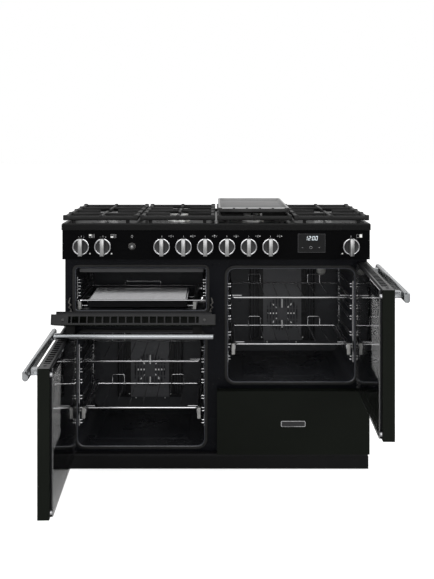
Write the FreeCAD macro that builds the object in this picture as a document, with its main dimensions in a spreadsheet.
"""Range cooker with two ovens, a grill compartment, a storage drawer and a six-burner gas hob.

Frame: X to the right, Y to the back, Z up, millimetres. Y = 0 is the front face of the oven frame,
X = 0 the middle of the cooker, Z = 0 the floor. Doors are drawn closed and then turned to the
angle at which they stand open.
"""
import FreeCAD, Part
import math
import os
import re
import Sketcher

V = FreeCAD.Vector
doc = FreeCAD.newDocument("range_cooker")
dims = doc.addObject("Spreadsheet::Sheet", "dims")

# Driving dimensions: name, value in millimetres or degrees, what it measures.
SIZES = [
    ("body_width", 1090, "width over the side panels"),
    ("body_back", 556, "rear edge of the side panels, behind the frame plane"),
    ("door_reach", 50, "outer faces of doors, drawer and panel, before the frame plane"),
    ("sheet_wall", 2, "casing sheet thickness"),
    ("thin_wall", 1.5, "liner and drawer sheet thickness"),
    ("running_gap", 0.3, "gap between pieces that slide past each other"),
    ("pin_play", 0.05, "radial play of pins and spindles"),
    ("foot_radius", 20, "levelling foot"),
    ("foot_plate", 8, "levelling foot plate thickness"),
    ("stem_radius", 6, "levelling foot stem"),
    ("rail_bottom", 44, "underside of the base rails"),
    ("base_top", 58, "top of the base tray"),
    ("plinth_bottom", 5, "plinth lower edge above the floor"),
    ("plinth_top", 50, "plinth upper edge"),
    ("plinth_reach", 27, "plinth face before the frame plane"),
    ("frame_depth", 10, "front frame thickness"),
    ("panel_bottom", 757.6, "control panel lower edge"),
    ("panel_top", 861.3, "control panel upper edge"),
    ("panel_lip", 1, "control panel beyond the side panels"),
    ("panel_wall", 3, "control panel front thickness"),
    ("frame_tab", 12, "front frame above the panel's lower edge"),
    ("trim_lip", 5, "hob trim beyond the side panels"),
    ("trim_reach", 55, "hob trim before the frame plane"),
    ("hob_top", 885.5, "hob trim upper face"),
    ("hob_recess", 8, "depth of the spill tray"),
    ("recess_border", 18, "trim around the spill tray"),
    ("trim_round", 4, "bevel of the hob trim"),
    ("support_top", 908, "upper face of the pan supports"),
    ("support_front", 15, "pan supports before the frame plane"),
    ("support_depth", 485, "one pan support, front to back"),
    ("support_bar", 13, "pan support frame bar width"),
    ("support_rise", 15, "pan support bar height"),
    ("finger_width", 9, "pan support finger width"),
    ("finger_gap", 34, "fingers stop this far from a burner's axis"),
    ("large_burner", 58, "large burner head radius"),
    ("small_burner", 42, "other burner head radius"),
    ("burner_head", 12, "burner head height"),
    ("burner_cap", 5, "burner cap height"),
    ("front_burner", 112, "front burners behind the frame plane"),
    ("rear_burner", 345, "rear burners behind the frame plane"),
    ("griddle_front", 15, "griddle behind the frame plane"),
    ("griddle_depth", 450, "griddle, front to back"),
    ("griddle_bottom", 919, "griddle underside"),
    ("griddle_rise", 17, "griddle height"),
    ("griddle_rim", 8, "griddle rim width"),
    ("door_middle", 3, "door edge from the cooker's middle"),
    ("left_door_bottom", 64.5, "left oven door lower edge"),
    ("grill_door_bottom", 519.5, "grill door lower edge"),
    ("door_gap", 8, "upright gap between two doors"),
    ("panel_shadow", 14.6, "gap between the panel and the doors"),
    ("skin_depth", 36, "outer shell of a door, front to back"),
    ("door_round", 2.5, "rounding of a door shell's upright edges"),
    ("inner_depth", 9, "inner glass panel of a door with its frame"),
    ("glass_wall", 4, "glass thickness"),
    ("stile", 18, "door shell's solid edge at the handle side"),
    ("window_border", 96, "oven door around its window"),
    ("window_round", 20, "window corner radius"),
    ("cap_wall", 4, "vented door cap thickness"),
    ("slot_width", 18, "cap slot"),
    ("slot_depth", 20.6, "cap slot"),
    ("slot_start", 72, "first slot from the door's left edge"),
    ("catch_radius", 6.5, "door catch stud"),
    ("catch_inset", 9, "catch stud from the door's free edge"),
    ("catch_rise", 20, "catch stud from the door's top or bottom"),
    ("pivot_inset", 22, "oven door pin from the hinge edge"),
    ("pivot_depth", 22, "oven door pin behind the outer face"),
    ("grill_pivot_depth", 15, "grill door pin behind the outer face"),
    ("grill_pivot_rise", 12.5, "grill door pin above the lower edge"),
    ("grill_pin_inset", 26, "grill hinge bracket from the door's ends"),
    ("pin_radius", 4, "hinge pin"),
    ("pin_length", 12, "hinge pin beyond its bracket"),
    ("bracket_wall", 3, "hinge bracket thickness"),
    ("bracket_rise", 9, "hinge bracket from the door's top or bottom"),
    ("bracket_half", 8, "hinge bracket half width"),
    ("notch_gap", 1, "door clear of its hinge bracket"),
    ("oven_open", 88, "angle at which the oven doors stand open"),
    ("grill_open", 76, "angle at which the grill door stands open"),
    ("handle_inset", 6, "handle bar from the door's ends"),
    ("handle_rise", 32, "handle bar section, across the door"),
    ("handle_thick", 18, "handle bar section, away from the door"),
    ("handle_reach", 36, "handle bar axis from the door"),
    ("handle_drop", 23, "handle bar axis below the door's top"),
    ("post_width", 30, "handle post"),
    ("post_rise", 19, "handle post"),
    ("mouth_border", 40.5, "door beyond the oven mouth, at each side"),
    ("mouth_edge", 18, "door beyond the oven mouth, mean of top and bottom"),
    ("mouth_sill", 12, "oven floor above the door's lower edge"),
    ("mouth_round", 28, "oven mouth corner radius"),
    ("oven_depth", 420, "oven liner, front to back"),
    ("grill_sill", 45.5, "grill floor above the door's lower edge"),
    ("grill_border", 34, "grill door beyond the compartment mouth, at each side"),
    ("grill_round", 12, "grill mouth corner radius"),
    ("flange", 10, "liner flange and gasket width"),
    ("gasket_depth", 4.7, "gasket before the frame plane"),
    ("baffle_width", 264, "fan cover"),
    ("baffle_rise", 335, "fan cover height"),
    ("baffle_depth", 30, "fan cover before the liner's back"),
    ("fan_lift", 158, "fan axis above the oven floor"),
    ("grille_radius", 69, "round field of fan slots"),
    ("grille_pitch", 12, "fan slot to fan slot"),
    ("grille_slot", 4.5, "fan slot width"),
    ("fan_radius", 58, "fan wheel"),
    ("hub_radius", 14, "fan hub"),
    ("shaft_radius", 4, "fan shaft"),
    ("motor_half", 36, "half the fan motor's square frame"),
    ("motor_length", 58, "fan motor"),
    ("ring_radius", 82, "ring element"),
    ("element_radius", 3.2, "heating element tube"),
    ("lamp_radius", 20, "oven lamp glass"),
    ("lamp_lift", 332, "lamp above the oven floor"),
    ("rung_radius", 2, "ladder wire"),
    ("rung_gap", 6.6, "clear height between the two wires of a rung"),
    ("ladder_front", 28, "ladders behind the frame plane"),
    ("ladder_length", 340, "ladder rungs"),
    ("shelf_wire", 3, "shelf frame wire radius"),
    ("cross_wire", 1.8, "shelf cross wire radius"),
    ("shelf_front", 20, "shelf front wire behind the frame plane"),
    ("shelf_depth", 290, "shelf, front to back"),
    ("loop_rise", 36, "loops at the back of a shelf"),
    ("upper_level", 301, "upper shelf above the oven floor"),
    ("lower_level", 132, "lower shelf above the oven floor"),
    ("runner_rise", 16, "telescopic runner height"),
    ("fixed_wall", 5, "fixed runner width"),
    ("runner_wall", 8, "sliding runner width"),
    ("end_block", 12, "runner end block width"),
    ("end_block_rise", 40, "runner end block height"),
    ("tray_front", 22, "grill pan behind the frame plane"),
    ("tray_depth", 262, "grill pan, front to back"),
    ("tray_lift", 7, "grill pan underside above the compartment floor"),
    ("tray_rise", 24, "grill pan height"),
    ("rod_radius", 3, "grill carriage rod"),
    ("runner_drop", 20, "grill carriage runner height"),
    ("carriage_inset", 13, "left carriage runner from the compartment wall"),
    ("carriage_offset", 44, "right carriage runner from the compartment wall"),
    ("drawer_lift", 10, "drawer guide rails above the base tray"),
    ("drawer_rise", 200, "drawer box height"),
    ("drawer_depth", 480, "drawer box behind its front"),
    ("knob_pitch", 77, "knob to knob"),
    ("knob_height", 804, "knob axes above the floor"),
    ("knob_radius", 30.5, "knob ring"),
    ("knob_gap", 4, "knob before the panel"),
    ("knob_ring", 11, "knob ring depth"),
    ("knob_dish", 4, "knob face below its ring"),
    ("grip_width", 11, "knob grip bar"),
    ("grip_half", 31, "half the knob grip bar's length"),
    ("grip_reach", 35, "knob grip before the panel"),
    ("spindle_radius", 4, "knob spindle"),
    ("spindle_hole", 7, "spindle hole in the panel"),
    ("button_radius", 10.4, "light button"),
    ("display_width", 96, "timer window"),
    ("display_bottom", 783, "timer window"),
    ("display_rise", 65, "timer window"),
    ("gas_radius", 8, "half the gas rail's square tube"),
    ("inlet_radius", 9.3, "gas inlet thread bore"),
    ("inlet_length", 16, "gas inlet thread length"),
    ("back_recess", 24, "back panel inside the side panels' rear edge"),
    ("entry_radius", 8, "mains cable entry bore"),
    ("cover_bottom", 120, "terminal cover"),
]
# Sizes that follow from the driving ones: pieces keep together when the cooker grows or shrinks.
FOLLOWS = {
    "panel_width": "(body_width + 2 * panel_lip)",
    "trim_width": "(body_width + 2 * trim_lip)",
    "door_width": "(body_width / 2 - door_middle)",
    "oven_door_rise": "(grill_door_bottom - door_gap - left_door_bottom)",
    "right_door_bottom": "(panel_bottom - panel_shadow - oven_door_rise)",
    "grill_door_rise": "(panel_bottom - panel_shadow - grill_door_bottom)",
    "drawer_front_top": "(right_door_bottom - door_gap + 1)",
    "window_width": "(door_width - 2 * window_border)",
    "window_rise": "(oven_door_rise - 2 * window_border + 5)",
    "slot_pitch": "((door_width - 2 * slot_start + 7.4) / 16)",
    "handle_length": "(door_width - 2 * handle_inset)",
    "post_spacing": "(handle_length - 4 * post_width + 12)",
    "oven_centre": "(body_width / 4 - door_middle / 2)",
    "mouth_width": "(door_width - 2 * mouth_border)",
    "mouth_rise": "(oven_door_rise - 2 * mouth_edge)",
    "left_floor": "(left_door_bottom + mouth_sill)",
    "right_floor": "(right_door_bottom + mouth_sill)",
    "grill_mouth": "(door_width - 2 * grill_border)",
    "grill_rise": "(grill_door_rise - grill_sill - mouth_edge - 3)",
    "grill_floor": "(grill_door_bottom + grill_sill)",
    "baffle_lift": "(fan_lift - 108)",
    "lamp_side": "(mouth_width / 2 - 68)",
    "rung_side": "(mouth_width / 2 - 14.5)",
    "shelf_half": "(rung_side - rung_radius)",
    "cross_pitch": "(shelf_half / 4.52)",
    "support_pitch": "((trim_width + 8) / 4)",
    "support_width": "(support_pitch - 10)",
    "griddle_width": "(support_width - 9)",
    "griddle_left": "(support_pitch / 2 - griddle_width / 2 - 1.5)",
    "tray_left": "(oven_centre + 204)",
    "tray_right": "(oven_centre - 171)",
    "tray_bottom": "(grill_floor + tray_lift)",
    "tray_top": "(grill_floor + tray_lift + tray_rise)",
    "drawer_side": "(oven_centre - 26)",
    "knob_side": "(body_width / 2 - 66.5)",
    "button_side": "(knob_side - 180)",
    "display_left": "(knob_side - 187.5)",
    "gas_side": "(body_width / 2 - 45)",
    "cover_side": "(body_width / 2 - 135)",
}
for row, (alias, number, note) in enumerate(SIZES, 1):
    dims.set(f"A{row}", note)
    dims.set(f"B{row}", str(number))
    dims.setAlias(f"B{row}", alias)
doc.recompute()

NAMES = {alias for alias, number, note in SIZES}
HOB_KNOBS = [f"{step} * knob_pitch" for step in (-2.5, -1.5, -0.5, 0.5, 1.5, 2.5)]
OVEN_KNOBS = {"grill_knob": "-knob_side", "left_oven_knob": "knob_pitch - knob_side",
              "right_oven_knob": "knob_side"}
LADDER_LEVELS = [80, 124, 168, 226, 265, 301, 344]
GRILL_LEVELS = [54, 78, 101]
DISC_SIDES = 24
TURN = {
    "x": FreeCAD.Rotation(V(0, 0, 1), V(1, 0, 0)),
    "y": FreeCAD.Rotation(V(0, 0, 1), V(0, 1, 0)),
    "z": FreeCAD.Rotation(),
}
nodes = []


def bound(expression):
    """Sheet expression in which every named size points into the sheet."""
    def point(match):
        word = match[0]
        return bound(FOLLOWS[word]) if word in FOLLOWS else "dims." + word if word in NAMES else word
    return re.sub(r"[a-z_]+", point, str(expression))


def value(expression):
    """Present value of a sheet expression."""
    return float(dims.evalExpression(bound(expression)))


def bind(thing, **sizes):
    for name, expression in sizes.items():
        thing.setExpression(name, bound(expression))
    return thing


def place(thing, x="0", y="0", z="0"):
    for axis, expression in zip("xyz", (x, y, z)):
        thing.setExpression(f"Placement.Base.{axis}", bound(expression))
    return thing


def span(side, near, far, centre="0"):
    """Stretch from near to far, measured from a centre line towards one side."""
    low, high = (near, far) if side > 0 else (f"-({far})", f"-({near})")
    return f"{centre} + {low}", f"{centre} + {high}"


# ---------------------------------------------------------------- plain solids and booleans
def block(x, y, z):
    box = doc.addObject("Part::Box", "block")
    ends = (x, y, z)
    bind(box, Length=f"({x[1]}) - ({x[0]})", Width=f"({y[1]}) - ({y[0]})", Height=f"({z[1]}) - ({z[0]})")
    return place(box, *[low for low, high in ends])


def rod(axis, at, radius, length):
    bar = doc.addObject("Part::Cylinder", "rod")
    bar.Placement = FreeCAD.Placement(V(), TURN[axis])
    bind(bar, Radius=radius, Height=length)
    return place(bar, *at)


def prism(axis, at, radius, length, sides):
    """Bar with a regular flat-sided section."""
    bar = doc.addObject("Part::Prism", "prism")
    bar.Polygon = sides
    bar.Placement = FreeCAD.Placement(V(), TURN[axis])
    bind(bar, Circumradius=radius, Height=length)
    return place(bar, *at)


def fuse(*parts):
    joined = doc.addObject("Part::MultiFuse", "joined")
    joined.Shapes = list(parts)
    joined.Refine = True
    return joined


def group(*parts):
    several = doc.addObject("Part::Compound", "several")
    several.Links = list(parts)
    return several


def cut(base, *tools):
    result = doc.addObject("Part::Cut", "cut")
    result.Base = base
    result.Tool = tools[0] if len(tools) == 1 else group(*tools)
    result.Refine = True
    return result


def node(name, *parts):
    """Final sub-part: one object, or several separate solids kept together."""
    piece = parts[0] if len(parts) == 1 else group(*parts)
    piece.Label = name
    nodes.append(piece)
    return piece


def turned(piece, axis, degrees, centre):
    """Turn a finished sub-part about its hinge."""
    piece.Placement = FreeCAD.Placement(V(), FreeCAD.Rotation(axis, degrees), centre)
    return piece


# ---------------------------------------------------------------- sketch-based bodies
def new_body(x="0", y="0", z="0"):
    return place(doc.addObject("PartDesign::Body", "body"), x, y, z)


def sketch_on(body, plane, offset="0"):
    sketch = body.newObject("Sketcher::SketchObject", "sketch")
    support = [f for f in body.Origin.OriginFeatures if f.Role == plane][0]
    sketch.AttachmentSupport = [(support, "")]
    sketch.MapMode = "FlatFace"
    bind(sketch, **{"AttachmentOffset.Base.z": offset})
    return sketch


def pin_point(sketch, edge, end, x, y):
    """Hold one end of a sketch edge at expressions for its two coordinates."""
    for kind, expression in (("DistanceX", x), ("DistanceY", y)):
        index = sketch.addConstraint(Sketcher.Constraint(kind, -1, 1, edge, end, value(expression)))
        sketch.renameConstraint(index, f"c{index}")
        bind(sketch, **{f"Constraints.c{index}": expression})


def polygon(sketch, points):
    first = sketch.GeometryCount
    at = [V(value(x), value(y), 0) for x, y in points]
    for i, start in enumerate(at):
        sketch.addGeometry(Part.LineSegment(start, at[(i + 1) % len(at)]), False)
    for i, (x, y) in enumerate(points):
        following = first + (i + 1) % len(points)
        sketch.addConstraint(Sketcher.Constraint("Coincident", first + i, 2, following, 1))
        pin_point(sketch, first + i, 1, x, y)


def rectangle(sketch, x, y, corner=None):
    (left, right), (low, high) = x, y
    if corner is None:
        polygon(sketch, [(left, low), (right, low), (right, high), (left, high)])
        return
    first = sketch.GeometryCount
    inset = [f"{left} + {corner}", f"{right} - ({corner})", f"{low} + {corner}", f"{high} - ({corner})"]
    sides = [
        ((inset[0], low), (inset[1], low)),
        ((right, inset[2]), (right, inset[3])),
        ((inset[1], high), (inset[0], high)),
        ((left, inset[3]), (left, inset[2])),
    ]
    centres = [(inset[1], inset[2]), (inset[1], inset[3]), (inset[0], inset[3]), (inset[0], inset[2])]
    radius = value(corner)
    for start, end in sides:
        ends = [V(value(u), value(v), 0) for u, v in (start, end)]
        edge = sketch.addGeometry(Part.LineSegment(*ends), False)
        pin_point(sketch, edge, 1, *start)
        pin_point(sketch, edge, 2, *end)
    for i, (u, v) in enumerate(centres):
        circle = Part.Circle(V(value(u), value(v), 0), V(0, 0, 1), radius)
        begin = (i - 1) * math.pi / 2
        arc = sketch.addGeometry(Part.ArcOfCircle(circle, begin, begin + math.pi / 2), False)
        sketch.addConstraint(Sketcher.Constraint("Coincident", first + i, 2, arc, 1))
        sketch.addConstraint(Sketcher.Constraint("Coincident", first + (i + 1) % 4, 1, arc, 2))
        index = sketch.addConstraint(Sketcher.Constraint("Radius", arc, radius))
        sketch.renameConstraint(index, f"c{index}")
        bind(sketch, **{f"Constraints.c{index}": corner})


def circle(sketch, x, y, radius):
    at = V(value(x), value(y), 0)
    edge = sketch.addGeometry(Part.Circle(at, V(0, 0, 1), value(radius)), False)
    pin_point(sketch, edge, 3, x, y)
    index = sketch.addConstraint(Sketcher.Constraint("Radius", edge, value(radius)))
    sketch.renameConstraint(index, f"c{index}")
    bind(sketch, **{f"Constraints.c{index}": radius})


def pad(body, sketch, length, backwards=False):
    feature = body.newObject("PartDesign::Pad", "pad")
    feature.Profile = sketch
    feature.Reversed = backwards
    return bind(feature, Length=length)


def pocket(body, sketch, length=None, backwards=False):
    feature = body.newObject("PartDesign::Pocket", "pocket")
    feature.Profile = sketch
    feature.Reversed = backwards
    if length is None:
        feature.Type = "ThroughAll"
        return feature
    return bind(feature, Length=length)


def repeat(body, feature, sketch, axis, length, count):
    """Copies of a feature along a sketch axis, the last one at the given length."""
    pattern = body.newObject("PartDesign::LinearPattern", "row")
    pattern.Originals = [feature]
    pattern.Direction = (sketch, [axis])
    pattern.Occurrences = count
    bind(pattern, Length=length)
    body.Tip = pattern
    return pattern


def finish_edges(body, kind, size, pick):
    """Fillet or Chamfer those edges of a body for which pick(edge) is true."""
    doc.recompute()
    tip = body.Tip
    names = [f"Edge{i}" for i, edge in enumerate(tip.Shape.Edges, 1) if pick(edge)]
    feature = body.newObject(f"PartDesign::{kind}", "finish")
    feature.Base = (tip, names)
    return bind(feature, **{"Radius" if kind == "Fillet" else "Size": size})


def runs_along(edge, axis):
    """True for a straight edge parallel to an axis."""
    if not isinstance(edge.Curve, (Part.Line, Part.LineSegment)):
        return False
    return abs(abs(edge.tangentAt(edge.FirstParameter).dot(axis)) - 1) < 1e-6


# ---------------------------------------------------------------- bent wires
def wire_solid(points, radius, sides=4):
    """Bar of a regular section swept along straight runs with mitred corners."""
    path = Part.makePolygon([V(*p) for p in points])
    along = V(*points[1]) - V(*points[0])
    along.normalize()
    across = along.cross(V(0, 0, 1))
    if across.Length < 0.1:
        across = V(1, 0, 0)
    across.normalize()
    other = along.cross(across)
    ring = []
    reach = radius / math.cos(math.pi / sides)
    for k in range(sides + 1):
        angle = 2 * math.pi * (k + 0.5) / sides
        ring.append(V(*points[0]) + across * (reach * math.cos(angle)) + other * (reach * math.sin(angle)))
    section = Part.makePolygon(ring)
    return path.makePipeShell([section], True, False, 1)


def welded(name, runs, sides=4):
    """Wires welded where they cross, as one solid; each run is (points, radius)."""
    solids = [wire_solid(points, radius, sides) for points, radius in runs]
    feature = doc.addObject("Part::Feature", name)
    shape = solids[0].multiFuse(solids[1:]) if len(solids) > 1 else solids[0]
    feature.Shape = shape.removeSplitter()
    return feature


def laid(name, bars):
    """Straight bars that lie against each other, each its own solid; each is (start, end, radius)."""
    feature = doc.addObject("Part::Feature", name)
    feature.Shape = Part.makeCompound([wire_solid([start, end], radius) for start, end, radius in bars])
    return feature


# ---------------------------------------------------------------- base, casing and front frame
def make_base():
    half = "body_width / 2"
    tray = block((f"-{half} + sheet_wall", f"{half} - sheet_wall"),
                 ("sheet_wall - plinth_reach", "body_back - back_recess"),
                 ("base_top - sheet_wall", "base_top"))
    lip = block((f"-{half} + sheet_wall", f"{half} - sheet_wall"),
                ("sheet_wall - plinth_reach", "2 * sheet_wall - plinth_reach"),
                ("rail_bottom", "base_top - sheet_wall"))
    parts = [tray, lip]
    rail_z = ("rail_bottom", "base_top - sheet_wall")
    for side in (-1, 1):
        parts.append(block(span(side, f"{half} - 30", f"{half} - 5"), ("0", "body_back - 40"), rail_z))
        guide = span(side, "0", "12")
        across = tuple(f"oven_centre + {0.8 * side} * drawer_side + ({e})" for e in guide)
        parts.append(block(across, ("frame_depth", "drawer_depth"), ("base_top", "base_top + drawer_lift")))
    for y in ("20", "body_back - 80"):
        parts.append(block((f"-{half} + 30", f"{half} - 30"), (y, f"{y} + 30"), rail_z))
    feet = []
    for side in (-1, 1):
        for y in ("40", "body_back - 66"):
            x = f"{side} * ({half} - 45)"
            plate = prism("z", (x, y, "0"), "foot_radius", "foot_plate", 6)
            stem = prism("z", (x, y, "foot_plate"), "stem_radius", "rail_bottom - foot_plate", 6)
            feet.append(fuse(plate, stem))
    node("base_frame", fuse(*parts), *feet)


def make_plinth():
    half = "body_width / 2"
    face = block((f"-{half}", half), ("-plinth_reach", "sheet_wall - plinth_reach"),
                 ("plinth_bottom", "plinth_top"))
    returns = [block(span(side, f"{half} - sheet_wall", half),
                     ("sheet_wall - plinth_reach", "90"), ("plinth_bottom", "plinth_top"))
               for side in (-1, 1)]
    node("plinth", fuse(face, *returns))


def make_casing():
    half = "body_width / 2"
    sides = []
    for side in (-1, 1):
        sheet = block(span(side, f"{half} - sheet_wall", half), ("frame_depth", "body_back"),
                      ("base_top", "panel_top"))
        rear_lip = block(span(side, f"{half} - 20", f"{half} - sheet_wall"),
                         ("body_back - sheet_wall", "body_back"), ("base_top", "panel_top"))
        foot_lip = block(span(side, f"{half} - 20", f"{half} - sheet_wall"),
                         ("frame_depth", "body_back - back_recess"),
                         ("base_top", "base_top + sheet_wall"))
        sides.append(fuse(sheet, rear_lip, foot_lip))
    node("side_panels", *sides)

    body = new_body(y="body_back - back_recess")
    sheet = sketch_on(body, "XZ_Plane")
    rectangle(sheet, (f"-{half} + sheet_wall", f"{half} - sheet_wall"), ("base_top", "panel_top"))
    pad(body, sheet, "sheet_wall", backwards=True)
    pipe_hole = sketch_on(body, "XZ_Plane")
    rectangle(pipe_hole, ("-gas_side - gas_radius - 1", "-gas_side + gas_radius + 1"),
              ("knob_height - gas_radius - 1", "knob_height + gas_radius + 1"))
    pocket(body, pipe_hole)
    for start in ("-1.1 * oven_centre", "0.25 * oven_centre"):
        louvre = sketch_on(body, "XZ_Plane")
        rectangle(louvre, (start, f"{start} + 0.85 * oven_centre"), ("panel_bottom - 160", "panel_bottom - 152"))
        row = pocket(body, louvre)
        repeat(body, row, louvre, "V_Axis", "100", 6)
    cover = block(("cover_side - 60", "cover_side + 60"),
                  ("body_back - back_recess + sheet_wall", "body_back"),
                  ("cover_bottom", "cover_bottom + 100"))
    entry = rod("z", ("cover_side", "body_back - back_recess / 2 + sheet_wall / 2", "cover_bottom - 1"),
                "entry_radius", "26")
    node("back_panel", body, cut(cover, entry))


def make_front_frame():
    half = "body_width / 2"
    body = new_body()
    plate = sketch_on(body, "XZ_Plane")
    rectangle(plate, (f"-{half}", half), ("base_top", "panel_bottom + frame_tab"))
    pad(body, plate, "frame_depth", backwards=True)
    mouths = sketch_on(body, "XZ_Plane")
    for side, floor in ((-1, "left_floor"), (1, "right_floor")):
        x = (f"{side} * oven_centre - mouth_width / 2", f"{side} * oven_centre + mouth_width / 2")
        rectangle(mouths, x, (floor, f"{floor} + mouth_rise"), "mouth_round")
    grill_x = ("-oven_centre - grill_mouth / 2", "-oven_centre + grill_mouth / 2")
    rectangle(mouths, grill_x, ("grill_floor", "grill_floor + grill_rise"), "grill_round")
    drawer_x = ("oven_centre - drawer_side - 8", "oven_centre + drawer_side + 8")
    rectangle(mouths, drawer_x, ("base_top + sheet_wall", "base_top + drawer_lift + drawer_rise + 8"))
    pocket(body, mouths)
    node("front_frame", body)


# ---------------------------------------------------------------- ovens and grill compartment
def make_liner(name, centre, width, floor, rise, corner, fan_x=None):
    body = new_body(x=centre, y="frame_depth", z=floor)
    shell = sketch_on(body, "XZ_Plane")
    rectangle(shell, (f"-{width} / 2 - thin_wall", f"{width} / 2 + thin_wall"),
              ("-thin_wall", f"{rise} + thin_wall"), f"({corner} + thin_wall)")
    pad(body, shell, "oven_depth + thin_wall", backwards=True)
    rim = sketch_on(body, "XZ_Plane")
    rectangle(rim, (f"-{width} / 2 - flange", f"{width} / 2 + flange"), ("-flange", f"{rise} + flange"))
    pad(body, rim, "thin_wall", backwards=True)
    room = sketch_on(body, "XZ_Plane")
    rectangle(room, (f"-{width} / 2", f"{width} / 2"), ("0", rise), corner)
    pocket(body, room, "oven_depth")
    if fan_x is not None:
        hole = sketch_on(body, "XZ_Plane")
        circle(hole, fan_x, "fan_lift", "shaft_radius + 2")
        pocket(body, hole)
    node(name, body)


def gasket(centre, width, floor, rise, corner):
    body = new_body(x=centre, z=floor)
    ring = sketch_on(body, "XZ_Plane")
    rectangle(ring, (f"-{width} / 2 - flange", f"{width} / 2 + flange"), ("-flange", f"{rise} + flange"),
              f"({corner} + flange)")
    rectangle(ring, (f"-{width} / 2", f"{width} / 2"), ("0", rise), corner)
    pad(body, ring, "gasket_depth")
    return body


def fan_cover(side, floor):
    """Pressed cover before the fan: a round field of slots, and three tall slots at each side."""
    back = "frame_depth + oven_depth"
    body = new_body(x=f"{side} * oven_centre", y=back, z=f"{floor} + baffle_lift")
    face = sketch_on(body, "XZ_Plane")
    rectangle(face, ("-baffle_width / 2", "baffle_width / 2"), ("0", "baffle_rise"))
    pad(body, face, "baffle_depth")
    inside = sketch_on(body, "XZ_Plane")
    rectangle(inside, ("-baffle_width / 2 + thin_wall", "baffle_width / 2 - thin_wall"),
              ("thin_wall", "baffle_rise - thin_wall"))
    pocket(body, inside, "baffle_depth - thin_wall", backwards=True)
    front = (f"{back} - baffle_depth - 1", f"{back} - baffle_depth + thin_wall + 1")
    slots = []
    reach = value("grille_radius")
    pitch = value("grille_pitch")
    columns = int(reach // pitch)
    band = reach / 3
    for column in range(-columns, columns + 1):
        x = column * pitch
        limit = math.sqrt(reach * reach - x * x)
        for row in (-1, 0, 1):
            low = max((row - 0.5) * 2 * band + 2.5, -limit)
            high = min((row + 0.5) * 2 * band - 2.5, limit)
            middle = row == 0 and abs(column) < 2
            if high - low < pitch / 2 or middle:
                continue
            at = f"{side} * oven_centre + {column} * grille_pitch"
            z = f"{floor} + fan_lift"
            slots.append(block((f"{at} - grille_slot / 2", f"{at} + grille_slot / 2"), front,
                               (f"{z} + ({low})", f"{z} + ({high})")))
    for edge in (-1, 1):
        for step in range(3):
            at = f"{side} * oven_centre + {edge} * (baffle_width / 2 - 8 - {step} * 11)"
            slots.append(block((f"{at} - 4", f"{at} + 4"), front,
                               (f"{floor} + baffle_lift + 10", f"{floor} + baffle_lift + baffle_rise - 12")))
    return cut(body, group(*slots))


def fan_wheel(name, side, floor):
    back = "frame_depth + oven_depth"
    body = new_body(x=f"{side} * oven_centre", y=f"{back} - baffle_depth + 5", z=f"{floor} + fan_lift")
    hub = sketch_on(body, "XZ_Plane")
    circle(hub, "0", "0", "hub_radius")
    pad(body, hub, "18", backwards=True)
    blade = sketch_on(body, "XZ_Plane")
    rectangle(blade, ("hub_radius - 3", "fan_radius"), ("-1", "1"))
    vane = pad(body, blade, "16", backwards=True)
    pattern = body.newObject("PartDesign::PolarPattern", "vanes")
    pattern.Originals = [vane]
    pattern.Axis = (blade, ["N_Axis"])
    pattern.Angle = 360
    pattern.Occurrences = 8
    body.Tip = pattern
    shaft = sketch_on(body, "XZ_Plane")
    circle(shaft, "0", "0", "shaft_radius")
    pad(body, shaft, "baffle_depth + 30", backwards=True)
    node(name, body)


def fan_motor(side, floor):
    at = (f"{side} * oven_centre", "frame_depth + oven_depth + thin_wall", f"{floor} + fan_lift")
    can = block((f"{at[0]} - motor_half", f"{at[0]} + motor_half"), (at[1], f"{at[1]} + motor_length"),
                (f"{at[2]} - motor_half", f"{at[2]} + motor_half"))
    bore = rod("y", at, "shaft_radius + pin_play", "motor_length - 10")
    return cut(can, bore)


def ring_element(side, floor):
    """Ring around the fan wheel with its two leads into the liner's back."""
    back = value("frame_depth + oven_depth")
    mid = V(value(f"{side} * oven_centre"), back - value("baffle_depth / 2"), value(f"{floor} + fan_lift"))
    tube = value("element_radius")
    ring = value("ring_radius")
    loop = []
    for k in range(DISC_SIDES + 1):
        angle = 2 * math.pi * k / DISC_SIDES
        loop.append(mid + V(ring * math.cos(angle), 0, ring * math.sin(angle)))
    hoop = wire_solid([tuple(p) for p in loop], tube)
    leads = []
    for sign in (-1, 1):
        start = mid + V(sign * 12, 0, 1 - ring)
        leads.append(wire_solid([tuple(start), (start.x, back, start.z)], 0.8 * tube))
    feature = doc.addObject("Part::Feature", "ring_element")
    feature.Shape = hoop.multiFuse(leads)
    return feature


def grill_element():
    """Serpentine tube under the grill roof, ending in the liner's back."""
    roof = value("grill_floor + grill_rise")
    z = roof - 22
    left = value("-oven_centre - grill_mouth / 2") + 60
    right = value("-oven_centre + grill_mouth / 2") - 60
    back = value("frame_depth + oven_depth")
    rows = 6
    pitch = (back - 140) / rows
    points = [(left, back, z), (left, 70, z)]
    step = (right - left) / 8
    x = left
    for lane in range(8):
        x += step
        far = lane % 2 == 0
        points.append((x, 70 if far else back - pitch, z))
        points.append((x, back - pitch if far else 70, z))
    points[-1] = (x, back, z)
    return welded("grill_element", [(points, value("element_radius"))])


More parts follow.
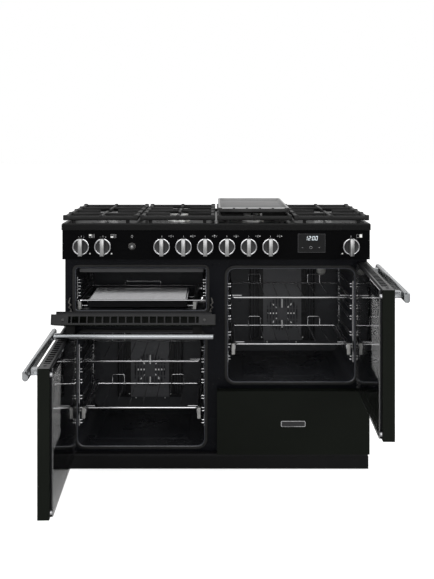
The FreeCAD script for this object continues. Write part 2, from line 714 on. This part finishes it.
def ladder(side, edge, floor, centre="oven_centre", wall="mouth_width / 2", levels=LADDER_LEVELS):
    """Side rack: pairs of wires from front to back, turned out at the front to an upright."""
    radius = value("rung_radius")
    rung = value(f"{side} * {centre} + {edge} * ({wall} - mouth_width / 2 + rung_side)")
    upright = value(f"{side} * {centre} + {edge} * ({wall} - running_gap - rung_radius)")
    front = value("ladder_front")
    back = front + value("ladder_length")
    base = value(floor)
    half = value("rung_gap / 2 + rung_radius")
    runs = []
    for level in levels:
        for z in (base + level - half, base + level + half):
            runs.append(([(upright, front, z), (rung, front, z), (rung, back, z), (upright, back, z)], radius))
    low = base + levels[0] - 3 * half
    high = base + levels[-1] + 3 * half
    for y in (front, back):
        runs.append(([(upright, y, low), (upright, y, high)], radius))
    return welded("ladder", runs)


def fixed_runner(side, edge, floor):
    """Outer member of a telescopic runner, clipped to the rungs of the ladder."""
    outer = "rung_side - rung_radius"
    x = span(edge, f"{outer} - fixed_wall", outer, f"{side} * oven_centre")
    top = f"{floor} + lower_level - shelf_wire"
    return block(x, ("ladder_front", "ladder_front + ladder_length"), (f"{top} - runner_rise", top))


def carriage_rails():
    """Fixed members beside the carriage runners: one flush on the wall, one held out on two arms."""
    y = ("ladder_front", "ladder_front + ladder_length")
    z = ("tray_top + 2 - runner_drop", "tray_top + 2")
    left_wall = "-oven_centre - grill_mouth / 2"
    right_wall = "-oven_centre + grill_mouth / 2"
    reach = "runner_wall / 2 + running_gap"
    flush = block((left_wall, f"{left_wall} + carriage_inset - ({reach})"), y, z)
    rail_x = f"{right_wall} - carriage_offset + {reach}"
    parts = [block((rail_x, f"{rail_x} + fixed_wall"), y, z)]
    for at_y in (60, 300):
        parts.append(block((f"{rail_x} + fixed_wall", right_wall), (f"{at_y}", f"{at_y} + 8"),
                           ("tray_top - 14", "tray_top - 4")))
    return [flush, fuse(*parts)]


def shelf_runs(side, floor, level, half):
    """Wires of one shelf: frame, cross wires, two loops at the back and stops at the front corners."""
    middle = value(f"{side} * oven_centre")
    z = value(f"{floor} + {level}")
    front = value("shelf_front")
    back = front + value("shelf_depth")
    thick = value("shelf_wire")
    thin = value("cross_wire")
    pitch = value("cross_pitch")
    rise = value("loop_rise")
    left, right = middle - half, middle + half
    frame = [(left, front, z), (right, front, z), (right, back, z), (left, back, z), (left, front, z)]
    runs = [(frame[i:i + 2], thick) for i in range(4)]
    for k in range(-3, 4):
        x = middle + k * pitch
        runs.append(([(x, front, z), (x, back, z)], thin))
    for k in (-3, 2):
        a = middle + k * pitch
        b = a + pitch
        runs.append(([(a, back, z), (a, back, z + rise), (b, back, z + rise), (b, back, z)], thin))
    for sign in (-1, 1):
        x = middle + sign * half
        stop = front - 2 * thick
        runs.append(([(x, front, z), (x, stop, z + 9), (x - sign * 36, stop, z + 9)], thin))
    return runs


def upper_shelf(name, side, floor):
    shelf = welded("wires", shelf_runs(side, floor, "upper_level", value("shelf_half")))
    node(name, shelf)


def lower_shelf(name, side, floor):
    """Shelf carried by the sliding members of two telescopic runners with end blocks."""
    near = "(rung_side - rung_radius - fixed_wall - running_gap - runner_wall)"
    middle = f"{side} * oven_centre"
    half = value(f"{near} + runner_wall / 2")
    wires = welded("wires", shelf_runs(side, floor, "lower_level", half))
    top = f"{floor} + lower_level - shelf_wire"
    runners = []
    for edge in (-1, 1):
        member = block(span(edge, near, f"{near} + runner_wall", middle),
                       ("ladder_front - 14", "ladder_front + ladder_length"), (f"{top} - runner_rise", top))
        cap = block(span(edge, f"{near} + 2", f"{near} + 2 + end_block", middle),
                    ("2", "ladder_front - 14"), (f"{top} + 8 - end_block_rise", f"{top} + 8"))
        runners.append(fuse(member, cap))
    node(name, wires, *runners)


def make_grill_carriage():
    """Glide-out carriage: two runners with end blocks, joined by rods, two of them under the pan."""
    left = value("-oven_centre - grill_mouth / 2 + carriage_inset")
    right = value("-oven_centre + grill_mouth / 2 - carriage_offset")
    radius = value("rod_radius")
    top = value("tray_top + 2")
    z = top + radius
    front = 6
    back = value("tray_front + tray_depth") + 12
    end = right + 28
    cradle = value("tray_bottom") - radius
    under = value("tray_top + 2 - runner_drop")
    bars = [
        ((left - radius, front, z), (end + radius, front, z), radius),
        ((end, front, z + radius), (end, front, z + 14 + radius), radius),
        ((end, front + radius, z + 14), (end, front + 15, z + 14), radius),
        ((left - radius, back, z), (right + radius, back, z), radius),
    ]
    for y in (70, 230):
        bars.append(((left - radius, y, cradle), (right + radius, y, cradle), radius))
    runners = []
    for x in (left, right):
        bars.append(((x, front + radius, z), (x, back - radius, z), radius))
        for y in (70, 230):
            bars.append(((x, y, cradle + radius), (x, y, under), radius))
        runners.append(block((f"{x} - runner_wall / 2", f"{x} + runner_wall / 2"), ("20", f"{back}"),
                             ("tray_top + 2 - runner_drop", "tray_top + 2")))
        runners.append(block((f"{x} - end_block / 2", f"{x} + end_block / 2"), ("10", "20"),
                             ("grill_floor + 2", "tray_top + 2")))
    node("grill_carriage", laid("rods", bars), *runners)

    pan = new_body()
    rim = sketch_on(pan, "XY_Plane", "tray_bottom")
    x = ("-tray_left + 4", "-tray_right - 4")
    y = ("tray_front", "tray_front + tray_depth")
    rectangle(rim, x, y, "14")
    pad(pan, rim, "tray_top - tray_bottom")
    hollow = sketch_on(pan, "XY_Plane", "tray_top")
    rectangle(hollow, (f"{x[0]} + 3", f"{x[1]} - 3"), (f"{y[0]} + 3", f"{y[1]} - 3"), "12")
    pocket(pan, hollow, "tray_top - tray_bottom - 2")

    x0, x1 = value(x[0]) + 1, value(x[1]) - 1
    y0, y1 = value(y[0]) + 2, value(y[1]) - 20
    thin = value("cross_wire")
    low = value("tray_top") + thin
    high = low + 2 * thin
    lines = 11
    wires = []
    for k in range(lines + 1):
        at_y = y0 + (y1 - y0) * k / lines
        wires.append(((x0, at_y, low), (x1, at_y, low), thin))
    mid = (x0 + x1) / 2
    for at_x in (x0 + 4, mid, x1 - 4):
        wires.append(((at_x, y0, high), (at_x, y1, high), thin))
    for at_x in (mid - 70, mid + 70):
        wires.append(((at_x, y1, low + thin), (at_x, y1, low + 26), thin))
    wires.append(((mid - 70 - thin, y1, low + 26 + thin), (mid + 70 + thin, y1, low + 26 + thin), thin))
    node("grill_pan", pan, laid("trivet", wires))


# ---------------------------------------------------------------- doors
def door_skin(left, bottom, rise, hinge_side, window):
    """Pressed outer shell of a door, open at the back, with a rebate for the vented cap."""
    width = "door_width"
    body = new_body(x=left, y="skin_depth - door_reach", z=bottom)
    face = sketch_on(body, "XZ_Plane")
    rectangle(face, ("0", width), ("0", rise))
    pad(body, face, "skin_depth")
    inside = sketch_on(body, "XZ_Plane")
    low_x = "sheet_wall" if hinge_side < 0 else "stile"
    high_x = f"{width} - sheet_wall" if hinge_side > 0 else f"{width} - stile"
    rectangle(inside, (low_x, high_x), ("sheet_wall", f"{rise} - cap_wall"))
    pocket(body, inside, "skin_depth - sheet_wall", backwards=True)
    rebate = sketch_on(body, "XZ_Plane")
    rectangle(rebate, ("1", f"{width} - 1"), (f"{rise} - cap_wall", f"{rise} + 1"))
    pocket(body, rebate, "skin_depth - sheet_wall", backwards=True)
    if window:
        pane = sketch_on(body, "XZ_Plane")
        rectangle(pane, (f"({width} - window_width) / 2", f"({width} + window_width) / 2"),
                  (f"({rise} - window_rise) / 2", f"({rise} + window_rise) / 2"), "window_round")
        pocket(body, pane, backwards=True)
    front = -value("skin_depth")
    half = value(width) / 2
    finish_edges(body, "Fillet", "door_round", lambda e: runs_along(e, V(0, 0, 1))
                 and e.CenterOfMass.y < front + 0.1 and abs(e.CenterOfMass.x - half) > half - 0.1)
    return body


def door_cap(left, bottom, rise):
    """Vented top cap: a row of full slots between two half slots, and two screw dimples."""
    width = "door_width"
    body = new_body(x=f"{left} + 1", y="-door_reach + sheet_wall", z=f"{bottom} + {rise} - cap_wall")
    plate = sketch_on(body, "XY_Plane")
    rectangle(plate, ("0", f"{width} - 2"), ("0", "skin_depth - sheet_wall"))
    pad(body, plate, "cap_wall")
    slot = sketch_on(body, "XY_Plane", "cap_wall")
    low = "(skin_depth - sheet_wall - slot_depth) / 2"
    rectangle(slot, ("slot_start", "slot_start + slot_width"), (low, f"{low} + slot_depth"))
    first = pocket(body, slot)
    repeat(body, first, slot, "H_Axis", "slot_pitch * 15", 16)
    ends = sketch_on(body, "XY_Plane", "cap_wall")
    for start in ("slot_start - 14", "slot_start + slot_pitch * 16"):
        rectangle(ends, (start, f"{start} + slot_width / 2"), (low, f"{low} + slot_depth"))
    pocket(body, ends)
    return body


def inner_panel(left, bottom, rise, hinge_side, glazed):
    """Inner frame with its glass, the pane behind the window, and the two catch studs."""
    width = "door_width"
    hinge_gap = "pivot_inset + bracket_half + notch_gap + 2"
    free_gap = "catch_inset + catch_radius + 1"
    low_x = {-1: hinge_gap, 1: free_gap, 0: "12"}[hinge_side]
    high_x = {-1: free_gap, 1: hinge_gap, 0: "12"}[hinge_side]
    low_z = "3" if hinge_side else "grill_pivot_rise + 18"
    x = (low_x, f"{width} - ({high_x})")
    z = (low_z, f"{rise} - 3")
    ring = new_body(x=left, y="skin_depth - door_reach", z=bottom)
    frame = sketch_on(ring, "XZ_Plane")
    rectangle(frame, x, z)
    rectangle(frame, (f"{x[0]} + 30", f"{x[1]} - 30"), (f"{z[0]} + 30", f"{z[1]} - 30"))
    pad(ring, frame, "inner_depth - glass_wall", backwards=True)
    back = "skin_depth + inner_depth - door_reach"
    at_x = (f"{left} + {x[0]}", f"{left} + {x[1]}")
    at_z = (f"{bottom} + {z[0]}", f"{bottom} + {z[1]}")
    parts = [ring, block(at_x, (f"{back} - glass_wall", back), at_z)]
    if not glazed:
        return parts
    parts.append(block((f"{left} + ({width} - window_width) / 2 - 20", f"{left} + ({width} + window_width) / 2 + 20"),
                       ("sheet_wall - door_reach", "sheet_wall + glass_wall - door_reach"),
                       (f"{bottom} + ({rise} - window_rise) / 2 - 20", f"{bottom} + ({rise} + window_rise) / 2 + 20")))
    stud_x = f"{left} + catch_inset" if hinge_side > 0 else f"{left} + {width} - catch_inset"
    for stud_z in (f"{bottom} + catch_rise", f"{bottom} + {rise} - catch_rise"):
        parts.append(rod("y", (stud_x, "skin_depth - door_reach", stud_z), "catch_radius", "inner_depth"))
    return parts


def handle(left, bottom, rise):
    """Oval bar on two posts."""
    middle = f"{left} + door_width / 2"
    level = f"{bottom} + {rise} - handle_drop"
    axis = "-door_reach - handle_reach"
    bar = new_body(x=f"{middle} - handle_length / 2", y=axis, z=level)
    oval = sketch_on(bar, "YZ_Plane")
    rectangle(oval, ("-handle_thick / 2", "handle_thick / 2"), ("-handle_rise / 2", "handle_rise / 2"),
              "(handle_thick / 2 - 0.5)")
    pad(bar, oval, "handle_length")
    posts = []
    for side in (-1, 1):
        at = f"{middle} + {side} * post_spacing / 2"
        posts.append(block((f"{at} - post_width / 2", f"{at} + post_width / 2"),
                           (f"{axis} + handle_thick / 2 - 3", "-door_reach"),
                           (f"{level} - post_rise / 2", f"{level} + post_rise / 2")))
    return fuse(bar, *posts)


def oven_hinge(side, bottom, z_bracket, pin_up):
    """Bracket on the frame with its pin, the block in the door that turns on it, and the notch."""
    x = f"{side} * (body_width / 2 - pivot_inset)"
    y = "pivot_depth - door_reach"
    z = (z_bracket, f"{z_bracket} + bracket_wall")
    plate = block((f"{x} - bracket_half", f"{x} + bracket_half"), (f"{y} - bracket_half", "0"), z)
    start = z[1] if pin_up else f"{z[0]} - pin_length"
    pin = rod("z", (x, y, start), "pin_radius", "pin_length")
    low = f"{z[1]} + running_gap" if pin_up else f"{z[0]} - pin_length - running_gap"
    high = f"{z[1]} + pin_length + running_gap" if pin_up else f"{z[0]} - running_gap"
    hub = block((f"{x} - 11", f"{x} + pivot_inset * {side} - {side} * sheet_wall") if side > 0 else
                (f"{x} + pivot_inset * {side} - {side} * sheet_wall", f"{x} + 11"),
                ("sheet_wall - door_reach", f"{y} + 11"), (low, high))
    bore = rod("z", (x, y, f"{low} - 1"), "pin_radius + pin_play", f"{high} - ({low}) + 2")
    edge = span(side, "body_width / 2 - sheet_wall - 1", "body_width / 2 + 1")
    notch = block(edge, ("sheet_wall + 1 - door_reach", "skin_depth - door_reach + 1"),
                  (f"{z[0]} - notch_gap", f"{z[1]} + notch_gap"))
    return fuse(plate, pin), hub, bore, notch


def make_oven_door(name, side, bottom):
    left = "door_middle" if side > 0 else "-body_width / 2"
    rise = "oven_door_rise"
    pivot = V(value(f"{side} * (body_width / 2 - pivot_inset)"), value("pivot_depth - door_reach"), 0)
    skin = door_skin(left, bottom, rise, side, True)
    low = oven_hinge(side, bottom, f"{bottom} + bracket_rise - bracket_wall", True)
    high = oven_hinge(side, bottom, f"{bottom} + {rise} - cap_wall - bracket_rise + bracket_wall", False)
    corner = span(side, "body_width / 2 - 5", "body_width / 2 + 1")
    chamfer = block(corner, ("skin_depth - door_reach - 5", "skin_depth - door_reach + 1"),
                    (f"{bottom} - 1", f"{bottom} + {rise} + 1"))
    shell = cut(fuse(skin, low[1], high[1]), low[2], high[2], low[3], high[3], chamfer)
    pieces = [
        node(f"{name}_skin", shell),
        node(f"{name}_inner", *inner_panel(left, bottom, rise, side, True)),
        node(f"{name}_cap", cut(door_cap(left, bottom, rise), chamfer)),
        node(f"{name}_handle", handle(left, bottom, rise)),
    ]
    for piece in pieces:
        turned(piece, V(0, 0, side), value("oven_open"), pivot)
    return [low[0], high[0]]


def make_grill_door():
    left = "-body_width / 2"
    bottom, rise = "grill_door_bottom", "grill_door_rise"
    y = "grill_pivot_depth - door_reach"
    z = f"{bottom} + grill_pivot_rise"
    pivot = V(0, value(y), value(z))
    skin = door_skin(left, bottom, rise, 0, False)
    hubs, cuts, brackets = [], [], []
    for x in (f"{left} + grill_pin_inset", "-door_middle - grill_pin_inset"):
        half = "bracket_wall / 2"
        plate = block((f"{x} - {half}", f"{x} + {half}"), (f"{y} - bracket_half + 1", "0"),
                      (f"{z} - bracket_half + 1", f"{z} + bracket_half - 1"))
        pin = rod("x", (f"{x} - {half} - pin_length", y, z), "pin_radius", "bracket_wall + 2 * pin_length")
        brackets.append(fuse(plate, pin))
        reach = f"({half} + pin_length + running_gap)"
        hubs.append(block((f"{x} - {reach}", f"{x} + {reach}"), ("sheet_wall - door_reach", f"{y} + 9"),
                          (f"{bottom} + sheet_wall", f"{z} + 9")))
        cuts.append(fuse(
            rod("x", (f"{x} - {reach} - 1", y, z), "pin_radius + pin_play", f"2 * {reach} + 2"),
            block((f"{x} - {half} - notch_gap", f"{x} + {half} + notch_gap"),
                  ("sheet_wall + 1 - door_reach", "skin_depth - door_reach + 1"),
                  (f"{bottom} - 1", f"{z} + bracket_half + 3"))))
    shell = cut(fuse(skin, *hubs), *cuts)
    pieces = [
        node("grill_door_skin", shell),
        node("grill_door_inner", *inner_panel(left, bottom, rise, 0, False)),
        node("grill_door_cap", group(door_cap(left, bottom, rise))),
        node("grill_door_handle", handle(left, bottom, rise)),
    ]
    for piece in pieces:
        turned(piece, V(1, 0, 0), value("grill_open"), pivot)
    return brackets


# ---------------------------------------------------------------- drawer
def make_drawer():
    x = ("door_middle", "body_width / 2")
    face = block(x, ("-door_reach", "skin_depth - door_reach"), ("left_door_bottom", "drawer_front_top"))
    hollow = block((f"{x[0]} + sheet_wall", f"{x[1]} - sheet_wall"),
                   ("sheet_wall - door_reach", "skin_depth - door_reach + 1"),
                   ("left_door_bottom + sheet_wall", "drawer_front_top - sheet_wall"))
    node("drawer_front", cut(face, hollow))
    low = "base_top + drawer_lift + running_gap"
    bx = ("oven_centre - drawer_side", "oven_centre + drawer_side")
    by = ("sheet_wall - door_reach", "drawer_depth")
    box = block(bx, by, (low, f"{low} + drawer_rise"))
    room = block((f"{bx[0]} + thin_wall", f"{bx[1]} - thin_wall"), (f"{by[0]} + thin_wall", f"{by[1]} - thin_wall"),
                 (f"{low} + thin_wall", f"{low} + drawer_rise + 1"))
    node("drawer_box", cut(box, room))


# ---------------------------------------------------------------- control panel and its pieces
def make_panel():
    half = "panel_width / 2"
    body = new_body()
    face = sketch_on(body, "XZ_Plane")
    rectangle(face, (f"-{half}", half), ("panel_bottom", "panel_top"))
    pad(body, face, "door_reach")
    inside = sketch_on(body, "XZ_Plane")
    rectangle(inside, (f"-{half} + sheet_wall", f"{half} - sheet_wall"),
              ("panel_bottom + sheet_wall", "panel_top - sheet_wall"))
    pocket(body, inside, "door_reach - panel_wall", backwards=True)
    holes = sketch_on(body, "XZ_Plane")
    for x in HOB_KNOBS + list(OVEN_KNOBS.values()):
        circle(holes, f"{x}", "knob_height", "spindle_hole")
    circle(holes, "-button_side", "knob_height", "button_radius + running_gap")
    rectangle(holes, ("display_left - 0.2", "display_left + display_width + 0.2"),
              ("display_bottom - 0.2", "display_bottom + display_rise + 0.2"))
    pocket(body, holes, backwards=True)
    node("control_panel", body)

    window = block(("display_left", "display_left + display_width"), ("-door_reach", "-door_reach + 24"),
                   ("display_bottom", "display_bottom + display_rise"))
    modules = [window]
    face_y = "panel_wall - door_reach"
    for x in OVEN_KNOBS.values():
        case = block((f"{x} - 20", f"{x} + 20"), (face_y, f"{face_y} + 30"), ("knob_height - 20", "knob_height + 20"))
        modules.append(cut(case, rod("y", (f"{x}", face_y, "knob_height"), "spindle_radius + pin_play", "22")))
    case = block(("-button_side - 15", "-button_side + 15"), (face_y, f"{face_y} + 26"),
                 ("knob_height - 15", "knob_height + 15"))
    modules.append(cut(case, rod("y", ("-button_side", face_y, "knob_height"), "button_radius + running_gap", "14")))
    node("timer_and_switches", *modules)
    node("light_button", rod("y", ("-button_side", "-door_reach - 3", "knob_height"), "button_radius", "16"))


def knob(x, shaft):
    """Ring with a dished face and a bar grip, with its own stub shaft or a bore for a spindle."""
    at = (f"{x}", "-door_reach - knob_gap - knob_ring", "knob_height")
    ring = prism("y", at, "knob_radius", "knob_ring", DISC_SIDES)
    dish = prism("y", (at[0], f"{at[1]} - 1", at[2]), "knob_radius - 4.5", "knob_dish + 1", DISC_SIDES)
    grip = block((f"{x} - grip_width / 2", f"{x} + grip_width / 2"),
                 ("-door_reach - grip_reach", f"{at[1]} + knob_dish + 0.5"),
                 ("knob_height - grip_half", "knob_height + grip_half"))
    if shaft:
        stub = rod("y", (f"{x}", "-door_reach - knob_gap - 0.5", "knob_height"), "spindle_radius",
                   "knob_gap + 22.5")
        return fuse(cut(ring, dish), grip, stub)
    bore = rod("y", (f"{x}", "4 - door_reach - grip_reach", "knob_height"), "spindle_radius + pin_play",
               "grip_reach")
    return cut(fuse(cut(ring, dish), grip), bore)


def make_knobs_and_gas():
    for name, x in OVEN_KNOBS.items():
        node(name, knob(x, True))
    tube = ("knob_height - gas_radius", "knob_height + gas_radius")
    parts = [block(("-gas_side - gas_radius", "3 * knob_pitch"), ("-gas_radius", "gas_radius"), tube)]
    bores = []
    for i, x in enumerate(HOB_KNOBS, 1):
        node(f"hob_knob_{i}", knob(x, False))
        node(f"hob_spindle_{i}", rod("y", (f"{x}", "5 - door_reach - grip_reach", "knob_height"),
                                     "spindle_radius", "grip_reach + 23"))
        parts.append(block((f"{x} - 13", f"{x} + 13"), ("-42", "0"), ("knob_height - 13", "knob_height + 13")))
        bores.append(rod("y", (f"{x}", "-43", "knob_height"), "spindle_radius + pin_play", "25"))
    back = "body_back - back_recess + sheet_wall"
    parts.append(block(("-gas_side - gas_radius", "-gas_side + gas_radius"), ("0", back), tube))
    inlet = block(("-gas_side - 15", "-gas_side + 15"), (back, "body_back"),
                  ("knob_height - 15", "knob_height + 15"))
    parts.append(inlet)
    for x in ("-knob_side + 160", "2.8 * knob_pitch"):
        parts.append(block((f"{x} - 8", f"{x} + 8"), ("0", "frame_depth"),
                           ("panel_bottom + frame_tab", "knob_height")))
    bores.append(rod("y", ("-gas_side", "body_back - inlet_length", "knob_height"), "inlet_radius",
                     "inlet_length + 1"))
    node("gas_rail", cut(fuse(*parts), *bores))


# ---------------------------------------------------------------- hob
def make_hob():
    half = "trim_width / 2"
    height = "hob_top - panel_top"
    body = new_body(z="panel_top")
    y = ("-trim_reach", "body_back")
    trim = sketch_on(body, "XY_Plane")
    rectangle(trim, (f"-{half}", half), y, "12")
    pad(body, trim, height)
    top = value(height)
    finish_edges(body, "Chamfer", "trim_round", lambda e: e.BoundBox.ZMin > top - 0.1)
    tray = sketch_on(body, "XY_Plane", height)
    rectangle(tray, (f"-{half} + recess_border", f"{half} - recess_border"),
              (f"{y[0]} + recess_border", f"{y[1]} - 2 * recess_border"), "15")
    pocket(body, tray, "hob_recess")
    under = sketch_on(body, "XY_Plane")
    rectangle(under, (f"-{half} + 10", f"{half} - 10"), (f"{y[0]} + 10", f"{y[1]} - 5"))
    pocket(body, under, f"{height} - hob_recess - sheet_wall", backwards=True)
    vent = sketch_on(body, "XY_Plane", height)
    rectangle(vent, ("-oven_centre - 120", "-oven_centre - 104"), ("body_back - 26", "body_back - 14"))
    first = pocket(body, vent)
    repeat(body, first, vent, "H_Axis", "2 * oven_centre + 224", 18)
    node("hob_tray", body)

    floor = "hob_top - hob_recess"
    burners = []
    wide = "1.5 * support_pitch"
    narrow = "0.5 * support_pitch"
    middle = "(front_burner + rear_burner) / 2"
    spots = [(f"-{wide}", middle, "large_burner"), (wide, middle, "large_burner")]
    for x in (f"-{narrow}", narrow):
        spots += [(x, "front_burner", "small_burner"), (x, "rear_burner", "small_burner")]
    for x, at_y, radius in spots:
        burners.append(prism("z", (x, at_y, floor), radius, "burner_head", DISC_SIDES))
        burners.append(prism("z", (x, at_y, f"{floor} + burner_head"), f"0.75 * {radius}", "burner_cap",
                             DISC_SIDES))
    node("burners", *burners)


def pan_support(centre, burner_lines):
    """Cast grate: rounded frame on legs, cross bars and fingers that stop short of each burner."""
    low, high = "support_top - support_rise", "support_top"
    x = (f"{centre} - support_width / 2", f"{centre} + support_width / 2")
    y = ("-support_front", "support_depth - support_front")
    body = new_body(z=low)
    ring = sketch_on(body, "XY_Plane")
    rectangle(ring, x, y, "16")
    rectangle(ring, (f"{x[0]} + support_bar", f"{x[1]} - support_bar"),
              (f"{y[0]} + support_bar", f"{y[1]} - support_bar"), "8")
    pad(body, ring, "support_rise")
    z = (f"{low} + 2", high)
    inner_x = (f"{x[0]} + support_bar / 2", f"{x[1]} - support_bar / 2")
    half = "finger_width / 2"
    parts = [body]
    for line in burner_lines:
        parts.append(block((inner_x[0], f"{centre} - finger_gap"), (f"{line} - {half}", f"{line} + {half}"), z))
        parts.append(block((f"{centre} + finger_gap", inner_x[1]), (f"{line} - {half}", f"{line} + {half}"), z))
    stops = [f"{y[0]} + support_bar / 2"]
    for line in burner_lines:
        stops += [f"{line} - finger_gap", f"{line} + finger_gap"]
    stops.append(f"{y[1]} - support_bar / 2")
    for start, end in zip(stops[::2], stops[1::2]):
        parts.append(block((f"{centre} - {half}", f"{centre} + {half}"), (start, end), z))
    quarter = "support_depth / 4 - support_front"
    three = "3 * support_depth / 4 - support_front"
    if len(burner_lines) == 1:
        for line in (quarter, three):
            parts.append(block(inner_x, (f"{line} - {half}", f"{line} + {half}"), z))
    else:
        middle = "support_depth / 2 - support_front"
        parts.append(block(inner_x, (f"{middle} - {half}", f"{middle} + {half}"), z))
    for at_x in (f"{x[0]} + 30", f"{x[1]} - 42"):
        for at_y in (y[0], f"{y[1]} - support_bar"):
            parts.append(block((at_x, f"{at_x} + 12"), (f"{at_y} + 1", f"{at_y} + support_bar - 1"),
                               ("hob_top - hob_recess", f"{low} + 1")))
    return fuse(*parts)


def make_supports():
    middle = "(front_burner + rear_burner) / 2"
    pair = ["front_burner", "rear_burner"]
    plan = [(-1.5, [middle]), (-0.5, pair), (0.5, pair), (1.5, [middle])]
    node("pan_supports", *[pan_support(f"{k} * support_pitch", lines) for k, lines in plan])


def make_griddle():
    x = ("griddle_left", "griddle_left + griddle_width")
    y = ("griddle_front", "griddle_front + griddle_depth")
    body = new_body(z="griddle_bottom")
    slab = sketch_on(body, "XY_Plane")
    rectangle(slab, x, y, "14")
    pad(body, slab, "griddle_rise")
    dish = sketch_on(body, "XY_Plane", "griddle_rise")
    rectangle(dish, (f"{x[0]} + griddle_rim", f"{x[1]} - griddle_rim"),
              (f"{y[0]} + griddle_rim", f"{y[1]} - griddle_rim"), "8")
    pocket(body, dish, "griddle_rise - 6")
    drain = sketch_on(body, "XY_Plane", "6")
    rectangle(drain, (f"{x[0]} + 22", f"{x[0]} + 58"), (f"{y[0]} + 18", f"{y[0]} + 24"))
    first = pocket(body, drain, "3")
    repeat(body, first, drain, "H_Axis", "4 * 44", 5)
    feet = []
    for at_x in (f"{x[0]} + 1", f"{x[1]} - 8"):
        for at_y in (f"{y[0]} + 50", f"{y[1]} - 70"):
            feet.append(block((at_x, f"{at_x} + 7"), (at_y, f"{at_y} + 20"),
                              ("support_top + running_gap", "griddle_bottom + 1")))
    node("griddle", fuse(body, *feet))


def build():
    make_base()
    make_plinth()
    make_casing()
    make_front_frame()
    make_panel()
    make_knobs_and_gas()
    make_hob()
    make_supports()
    make_griddle()
    ovens = ((-1, "left", "left_floor"), (1, "right", "right_floor"))
    for side, name, floor in ovens:
        make_liner(f"{name}_oven_liner", f"{side} * oven_centre", "mouth_width", floor, "mouth_rise",
                   "mouth_round", fan_x="0")
        fan_wheel(f"{name}_fan", side, floor)
        upper_shelf(f"{name}_upper_shelf", side, floor)
        lower_shelf(f"{name}_lower_shelf", side, floor)
    make_liner("grill_liner", "-oven_centre", "grill_mouth", "grill_floor", "grill_rise", "grill_round")
    make_grill_carriage()
    node("door_gaskets",
         gasket("-oven_centre", "mouth_width", "left_floor", "mouth_rise", "mouth_round"),
         gasket("oven_centre", "mouth_width", "right_floor", "mouth_rise", "mouth_round"),
         gasket("-oven_centre", "grill_mouth", "grill_floor", "grill_rise", "grill_round"))
    node("fan_covers", *[fan_cover(side, floor) for side, name, floor in ovens])
    node("fan_motors", *[fan_motor(side, floor) for side, name, floor in ovens])
    node("heating_elements", *[ring_element(side, floor) for side, name, floor in ovens], grill_element())
    node("oven_lamps", *[
        rod("y", (f"{side} * (oven_centre + lamp_side)", "frame_depth + oven_depth - 8",
                  f"{floor} + lamp_lift"), "lamp_radius", "8") for side, name, floor in ovens])
    racks = []
    for side, name, floor in ovens:
        for edge in (-1, 1):
            racks += [ladder(side, edge, floor), fixed_runner(side, edge, floor)]
    for edge in (-1, 1):
        racks.append(ladder(-1, edge, "grill_floor", wall="grill_mouth / 2", levels=GRILL_LEVELS))
    racks += carriage_rails()
    node("shelf_ladders", *racks)
    brackets = make_oven_door("left_door", -1, "left_door_bottom")
    brackets += make_oven_door("right_door", 1, "right_door_bottom")
    brackets += make_grill_door()
    node("door_hinges", *brackets)
    make_drawer()


def write_out():
    doc.recompute()
    for thing in doc.Objects:
        assert not {"Invalid", "Error"} & set(thing.State), f"{thing.Label} did not build: {thing.State}"
    os.makedirs("parts", exist_ok=True)
    for piece in nodes:
        shape = piece.Shape
        assert not shape.isNull() and shape.isValid(), f"{piece.Label} is not a valid shape"
        shape.exportStep(os.path.join("parts", piece.Label + ".step"))
    print(len(nodes), "sub-parts written")


build()
write_out()
